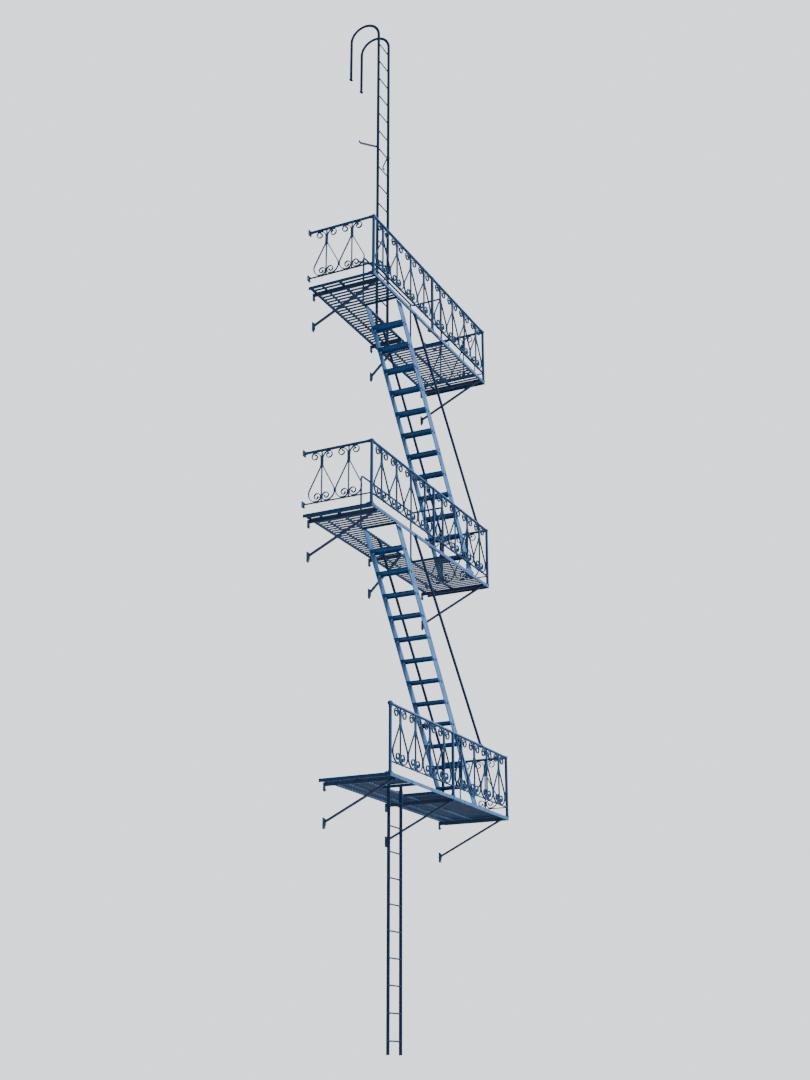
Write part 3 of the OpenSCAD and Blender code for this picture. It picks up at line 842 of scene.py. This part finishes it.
class BuildHandrails(bpy.types.Operator):
    """Makes the round handrails of the flights, their lugs and the newels"""

    bl_idname = "fire_escape.build_handrails"
    bl_label = "Build handrails"

    def execute(self, context):
        sizes = context.scene.fire_escape_sizes
        r, thick = sizes.handrail_radius, 0.007
        pipe = ellipse(2 * r, 2 * r, 20)
        corners = [(x, y, thick) for x in (-0.032, 0.032) for y in (-0.032, 0.032)]
        newel = joined(
            carried([(0, 0, 0), (0, 0, 0.700)], rounded(POST, POST, 0.004), (0, 1, 0)),
            copied(ball(0.024, 1.0, 10, 20), [(0, 0, 0.698)]),
            block((-0.045, -0.045, 0), (0.045, 0.045, thick), 0.006),
            copied(hex_bolt(0.0075, 0.009), corners),
        )
        lug = block((-0.030, -0.022, -0.042), (0.030, 0.016, -0.020), 0.004)
        for flight, level in FLIGHTS.items():
            at = Balcony(level)
            top = at.top
            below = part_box(flight + "_stringers")[0][2]
            inner_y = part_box(flight + "_treads")[1][1] + STRINGER / 2
            outer_x, inner_x = at.post_x[0] + np.array([OUTER_HANDRAIL, INNER_HANDRAIL])
            outer = [(outer_x[0], at.rail_y, top - 0.030), (outer_x[1], at.rail_y, below + TOP_RAIL_Z)]
            inner = [(inner_x[0], inner_y, top - 0.018), (inner_x[1], inner_y, below + 0.690)]
            saddle = copied(ball(0.029, 1.0, 10, 20), [outer[1]])
            lugs = copied(lug, [(x, y, top) for x, y, _ in (outer[0], inner[0])])
            rails = [carried(line, pipe, (0, 1, 0)) for line in (outer, inner)]
            parts = joined(*rails, copied(newel, [(inner_x[1], inner_y, below)]), saddle, lugs)
            nodes = [flight + "_handrails"]
            iron_piece(flight + "_handrail_pipes", parts, "rail_iron", nodes, paint="ladder_iron")
        return {"FINISHED"}


class BuildLadders(bpy.types.Operator):
    """Makes the roof ladder with its bent necks and the drop ladder below"""

    bl_idname = "fire_escape.build_ladders"
    bl_label = "Build ladders"

    def execute(self, context):
        sizes = context.scene.fire_escape_sizes
        flat = rounded(*LADDER_RAIL, 0.003)
        half = LADDER_RAIL[0] / 2
        rung = ellipse(2 * sizes.rung_radius, 2 * sizes.rung_radius, 12)
        low, high = corners_of("roof_ladder_rails")
        y = low[1] + half
        top = high[2] - NECK_R - half
        a = np.radians(np.linspace(180, 0, 31))
        neck = np.stack([y + NECK_R + NECK_R * np.cos(a), top + NECK_R * np.sin(a)], -1)
        end_y, end_z = y + 2 * NECK_R, top - NECK_DROP
        side_line = np.vstack([[(y, low[2])], neck, [(end_y, end_z)]])
        line = np.stack([np.zeros(len(side_line)), *side_line.T], -1)
        xs = (low[0] + LADDER_RAIL[1] / 2, high[0] - LADDER_RAIL[1] / 2)
        rails = copied(carried(line, flat, (1, 0, 0)), [(x, 0, 0) for x in xs])
        rung_low, rung_high = corners_of("roof_ladder_rungs")
        heights = np.arange(rung_low[2] + sizes.rung_radius, rung_high[2], sizes.rung_pitch)
        bars, heads = self.rungs(xs, y, heights, rung)
        feet = copied(block((-0.030, -0.040, 0), (0.030, 0.040, 0.007), 0.005), [(x, y, low[2]) for x in xs])
        tips = copied(block((-0.030, -half, 0), (0.030, half, 0.008), 0.004), [(x, end_y, end_z) for x in xs])
        parts = joined(rails, heads, feet, tips)
        iron_piece("roof_ladder_bars", parts, "ladder_iron", ["roof_ladder_rails"])
        iron_piece("roof_ladder_steps", bars, "ladder_iron", ["roof_ladder_rungs"])
        stay_low, stay_high = corners_of("roof_ladder_brackets")
        levels = (stay_low[2] + 0.016, stay_high[2] - 0.016)
        anchor, stud = hex_bolt(0.009, 0.010), hex_bolt(0.007, 0.008)
        middle = (stay_low[0] + stay_high[0]) / 2
        spread = stay_high[0] - middle - 0.020
        flat_face = (high[0] - low[0]) / 2 + 0.008
        spots = [(middle + side * spread, -0.008, z) for side in (-1, 1) for z in levels]
        bolts = [copied(facing(anchor, "-y"), spots)]
        for side, axis in ((-1, "-x"), (1, "x")):
            bolts.append(copied(facing(stud, axis), [(middle + side * flat_face, y, z) for z in levels]))
        iron_piece("roof_ladder_bolts", joined(*bolts), "bracket_iron")

        low, high = corners_of("drop_ladder_rails")
        y = (low[1] + high[1]) / 2
        xs = (low[0] + LADDER_RAIL[1] / 2, high[0] - LADDER_RAIL[1] / 2)
        rail = carried([(0, y, low[2]), (0, y, high[2])], flat, (1, 0, 0))
        rails = copied(rail, [(x, 0, 0) for x in xs])
        rung_low, rung_high = corners_of("drop_ladder_rungs")
        heights = np.arange(rung_low[2] + sizes.rung_radius, rung_high[2], sizes.rung_pitch)
        bars, heads = self.rungs(xs, y, heights, rung)
        iron_piece("drop_ladder_bars", joined(rails, heads), "ladder_iron", ["drop_ladder_rails"])
        iron_piece("drop_ladder_steps", bars, "ladder_iron", ["drop_ladder_rungs"])
        return {"FINISHED"}

    def rungs(self, xs, y, heights, rung):
        """Round bars between two rails, and the riveted ends that show outside them."""
        bar = carried([(xs[0], y, 0), (xs[1], y, 0)], rung, (0, 1, 0))
        bars = copied(bar, [(0, 0, z) for z in heights])
        out = LADDER_RAIL[1] / 2
        left = copied(facing(rivet_head(0.010), "-x"), [(xs[0] - out, y, z) for z in heights])
        right = copied(facing(rivet_head(0.010), "x"), [(xs[1] + out, y, z) for z in heights])
        return bars, joined(left, right)


class BuildFasteners(bpy.types.Operator):
    """Makes the slat rivets, the anchor bolts of the wall plates and the bolts on stringers and frames"""

    bl_idname = "fire_escape.build_fasteners"
    bl_label = "Build fasteners"

    def execute(self, context):
        sizes = context.scene.fire_escape_sizes
        dome = rivet_head(sizes.slat_rivet, 6)
        thread = turned([(0.006, 0.010), (0.006, 0.022), (0.005, 0.024)], 10)
        anchor = facing(joined(hex_bolt(0.012, 0.012), thread), "-y")
        flange_bolt = facing(hex_bolt(0.0075, 0.009), "-y")
        small = facing(hex_bolt(0.006, 0.005), "-y")
        head = hex_bolt(sizes.bolt_head, 0.008)
        for level in LEVELS:
            at = Balcony(level)
            start, stop = at.hole()
            x, y = (g.ravel() for g in np.meshgrid(at.slat_x, BAR_Y))
            cut = (x > start - 0.03) & (x < stop + 0.03) & (y < -0.5)
            spots = np.stack([x, y, np.full(len(x), at.top)], -1)[~cut]
            above = copied(dome, spots)
            below = copied(facing(dome, "-z"), spots + (0, 0, UNDER_BAR))
            iron_piece(level + "_slat_rivets", joined(above, below), "slat_iron")

            rises = [-PLATE_DROP - PLATE_BOLTS, -PLATE_DROP + PLATE_BOLTS]
            rises += [-ARM_PLATE_DROP - ARM_PLATE_BOLTS, -ARM_PLATE_DROP + ARM_PLATE_BOLTS]
            parts = [copied(anchor, [(x, -0.010, at.top + z) for x in at.bracket_x for z in rises])]
            for side in at.end_sides:
                x = at.end_x(side)
                heights = [BOTTOM_RAIL_Z - BOTTOM_RAIL[1] / 2 + i for i in (-0.027, 0.027)]
                heights += [TOP_RAIL_Z + i for i in (-0.027, 0.027)]
                spots = [(x + i, -FLANGE, at.top + z) for i in (-0.020, 0.020) for z in heights]
                parts.append(copied(flange_bolt, spots))
            iron_piece(level + "_anchor_bolts", joined(*parts), "bracket_iron")

            ends = (at.left + 0.03, at.left + 0.08, at.right - 0.08, at.right - 0.03)
            spots = [(x, at.outer, at.top - 0.022) for x in ends]
            spots += [(at.middle + i, at.outer - 0.004, at.top - 0.022) for i in (-0.12, -0.05, 0.05, 0.12)]
            plate = block((-0.15, -0.004, -0.038), (0.15, 0, -0.006), 0.001)
            plate = copied(plate, [(at.middle, at.outer, at.top)])
            iron_piece(level + "_frame_bolts", joined(copied(small, spots), plate), "frame_iron")

        for flight in FLIGHTS:
            places, y0, y1 = tread_places(flight)
            spots = np.array([p + (i, 0, -0.030) for p in places for i in (-0.028, 0.028)])
            out = copied(facing(head, "-y"), spots + (0, y0 - STRINGER, 0))
            back = copied(facing(head, "y"), spots + (0, y1 + STRINGER, 0))
            iron_piece(flight + "_bolts", joined(out, back), "tread_iron")
            iron_piece(flight + "_foot_clips", self.foot_clips(flight, y0, y1), "bracket_iron")
        return {"FINISHED"}

    def foot_clips(self, flight, y0, y1):
        """Angles between a flight's stringers that hold their feet on the slats."""
        low, high = corners_of(flight + "_stringers")
        bolt, thick = hex_bolt(0.008, 0.008), 0.006
        clips = []
        for y, way, axis in ((y0, 1, "y"), (y1, -1, "-y")):
            wall, reach = sorted((y, y + way * thick)), sorted((y, y + way * 0.052))
            clips += [
                block((-0.050, wall[0], 0), (0.040, wall[1], 0.062), 0.001),
                block((-0.050, reach[0], 0), (0.040, reach[1], thick), 0.001),
                copied(bolt, [(x, y + way * 0.032, thick) for x in (-0.026, 0.018)]),
                copied(facing(bolt, axis), [(x, y + way * thick, 0.036) for x in (-0.026, 0.018)]),
            ]
        return copied(joined(*clips), [(high[0] - 0.075, 0, low[2])])


class BuildStudio(bpy.types.Operator):
    """Makes the pale floor, the soft lights and the camera at the photograph's viewing angle"""

    bl_idname = "fire_escape.build_studio"
    bl_label = "Build studio"

    def execute(self, context):
        studio = context.scene.fire_escape_studio
        scene = context.scene
        # A disc: the points (r cos a, r sin a) at one height
        rim = ellipse(2 * studio.floor_radius, 2 * studio.floor_radius, 96)
        level = np.full(len(rim), cad_box[0][2] - studio.floor_drop)
        mesh = bpy.data.meshes.new("studio_floor")
        mesh.from_pydata(np.column_stack([rim, level]).tolist(), [], [list(range(len(rim)))])
        mesh.materials.append(fading_floor("studio_floor", (0.86, 0.875, 0.89, 1.0), studio.floor_radius))
        floor = bpy.data.objects.new("studio_floor", mesh)
        scene.collection.objects.link(floor)

        scene.world = self.surround(studio.sky)

        self.sun("key", (-0.12, -0.75, 0.62), studio.key, (1.0, 0.98, 0.95), 28)
        self.sun("fill", (0.8, 0.5, 0.5), studio.key * 0.2, (0.85, 0.92, 1.0), 60)

        camera = bpy.data.objects.new("camera", bpy.data.cameras.new("camera"))
        scene.collection.objects.link(camera)
        scene.camera = camera
        camera.data.sensor_width = 36.0
        camera.data.lens = studio.lens
        camera.data.clip_end = 500
        camera.location = studio.eye
        aim = Vector(studio.target) - Vector(studio.eye)
        camera.rotation_euler = aim.to_track_quat("-Z", "Y").to_euler()
        return {"FINISHED"}

    def surround(self, strength):
        """A pale backdrop for the camera, and a dimmer, cooler light for the ironwork, less below."""
        world = bpy.data.worlds.new("studio")
        world.use_nodes = True
        tree = Tree(world)
        direction = tree.node("ShaderNodeTexCoord", out="Generated")
        height = tree.node("ShaderNodeSeparateXYZ", None, {0: direction}, "Z")
        dimmed = (height.between(-0.40, 0.30) * 0.45 + 0.55) * strength
        lights = [
            tree.node("ShaderNodeBackground", None, {"Color": colour, "Strength": power})
            for colour, power in (((0.74, 0.86, 1.0, 1.0), dimmed), ((0.88, 0.92, 0.96, 1.0), 1.75))
        ]
        seen = tree.node("ShaderNodeLightPath", out="Is Camera Ray")
        mixed = tree.node("ShaderNodeMixShader", None, {0: seen, 1: lights[0], 2: lights[1]})
        tree.node("ShaderNodeOutputWorld", None, {"Surface": mixed})
        return world

    def sun(self, name, origin, strength, colour, spread):
        """A soft sun that shines from a direction."""
        light = bpy.data.lights.new(name, "SUN")
        light.energy, light.color, light.angle = strength, colour, math.radians(spread)
        lamp = bpy.data.objects.new(name, light)
        lamp.rotation_euler = (-Vector(origin)).to_track_quat("-Z", "Y").to_euler()
        bpy.context.scene.collection.objects.link(lamp)


class FireEscapePanel(bpy.types.Panel):
    """Lists the steps and the settings of the fire escape stair"""

    bl_idname = "FIRE_ESCAPE_PT_panel"
    bl_label = "Fire Escape Stair"
    bl_space_type = "VIEW_3D"
    bl_region_type = "UI"
    bl_category = "Fire Escape"

    def draw(self, context):
        for step in STEPS:
            self.layout.operator(step.bl_idname)
        for group in GROUPS:
            settings = getattr(context.scene, group)
            box = self.layout.box()
            for key in settings.bl_rna.properties.keys():
                if key not in ("rna_type", "name"):
                    box.prop(settings, key)


STEPS = (
    PaintIronwork,
    BuildScrollwork,
    BuildPosts,
    BuildRails,
    BuildGuards,
    BuildTreads,
    BuildHandrails,
    BuildLadders,
    BuildFasteners,
    BuildStudio,
)
GROUPS = {
    "fire_escape_paint": FireEscapePaint,
    "fire_escape_sizes": FireEscapeSizes,
    "fire_escape_studio": FireEscapeStudio,
}


def register():
    for kind in (*GROUPS.values(), *STEPS, FireEscapePanel):
        bpy.utils.register_class(kind)
    for key, kind in GROUPS.items():
        setattr(bpy.types.Scene, key, bpy.props.PointerProperty(type=kind))


def unregister():
    for key in GROUPS:
        delattr(bpy.types.Scene, key)
    for kind in (FireEscapePanel, *STEPS[::-1], *GROUPS.values()):
        bpy.utils.unregister_class(kind)


def main():
    register()
    for step in STEPS:
        area, name = step.bl_idname.split(".")
        getattr(getattr(bpy.ops, area), name)()


if __name__ == "__main__":
    main()
